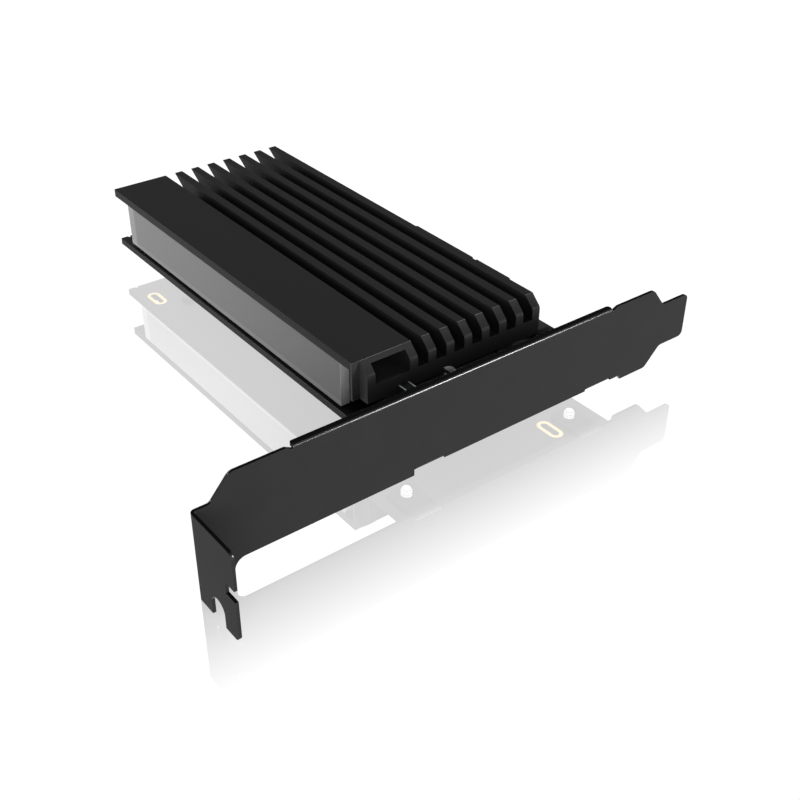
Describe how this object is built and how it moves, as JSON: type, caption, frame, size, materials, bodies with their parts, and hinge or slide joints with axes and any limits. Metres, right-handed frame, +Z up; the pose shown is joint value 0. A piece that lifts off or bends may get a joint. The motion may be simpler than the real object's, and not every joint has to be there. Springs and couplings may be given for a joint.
{
  "type": "drive adapter card",
  "caption": "Low expansion card that carries one stick-type solid-state drive under a finned black heat sink, with a light bar along one side and a folded slot bracket.",
  "frame": {"origin": "on the slot bracket's outer face, level with the component side of the board, on the drive's centre line", "axes": "+Z up from the component side of the board, +Y away from the bracket along the card, +X from the bracket's fixing tab towards its tongue and the edge connector"},
  "size_m": [0.12, 0.1317, 0.0236],
  "materials": {
    "satin_black_steel": "satin black powder coat",
    "black_anodised": "satin black anodised",
    "board_black": "black solder mask",
    "gold_plate": "gold plated",
    "zinc_screw": "bright zinc plated",
    "black_screw": "black oxide",
    "frosted_clear": "frosted clear",
    "lamp_white": "white with a clear lens",
    "socket_black": "moulded black",
    "tinned": "tin plated",
    "standoff_brass": "turned",
    "pad_grey": "soft matte",
    "ferrite": "dark green ferrite",
    "can_metal": "bright can",
    "chip_black": "moulded black",
    "coil_grey": "pressed powder",
    "ceramic_tan": "fired ceramic",
    "resistor_black": "glazed black"
  },
  "bodies": {
    "root": {"bracket": "satin_black_steel", "circuit_board": "board_black", "edge_contacts_top": "gold_plate", "edge_contacts_bottom": "gold_plate", "slot_rings": "gold_plate", "bracket_screws": "zinc_screw", "heat_sink": "black_anodised", "heat_sink_screws": "black_screw", "light_guide": "frosted_clear", "leds": "lamp_white", "drive_socket_housing": "socket_black", "drive_socket_contacts": "tinned", "drive_socket_anchors": "tinned", "drive_standoff": "standoff_brass", "upper_thermal_pad": "pad_grey", "lower_thermal_pad": "pad_grey", "choke": "ferrite", "choke_terminals": "tinned", "can_capacitor_base": "socket_black", "can_capacitor": "can_metal", "regulator_chip": "chip_black", "power_inductor": "coil_grey", "light_controller_chip": "chip_black", "chip_leads": "tinned", "ceramic_capacitors": "ceramic_tan", "resistors": "resistor_black", "bulk_capacitors": "ceramic_tan"}
  },
  "joints": []
}
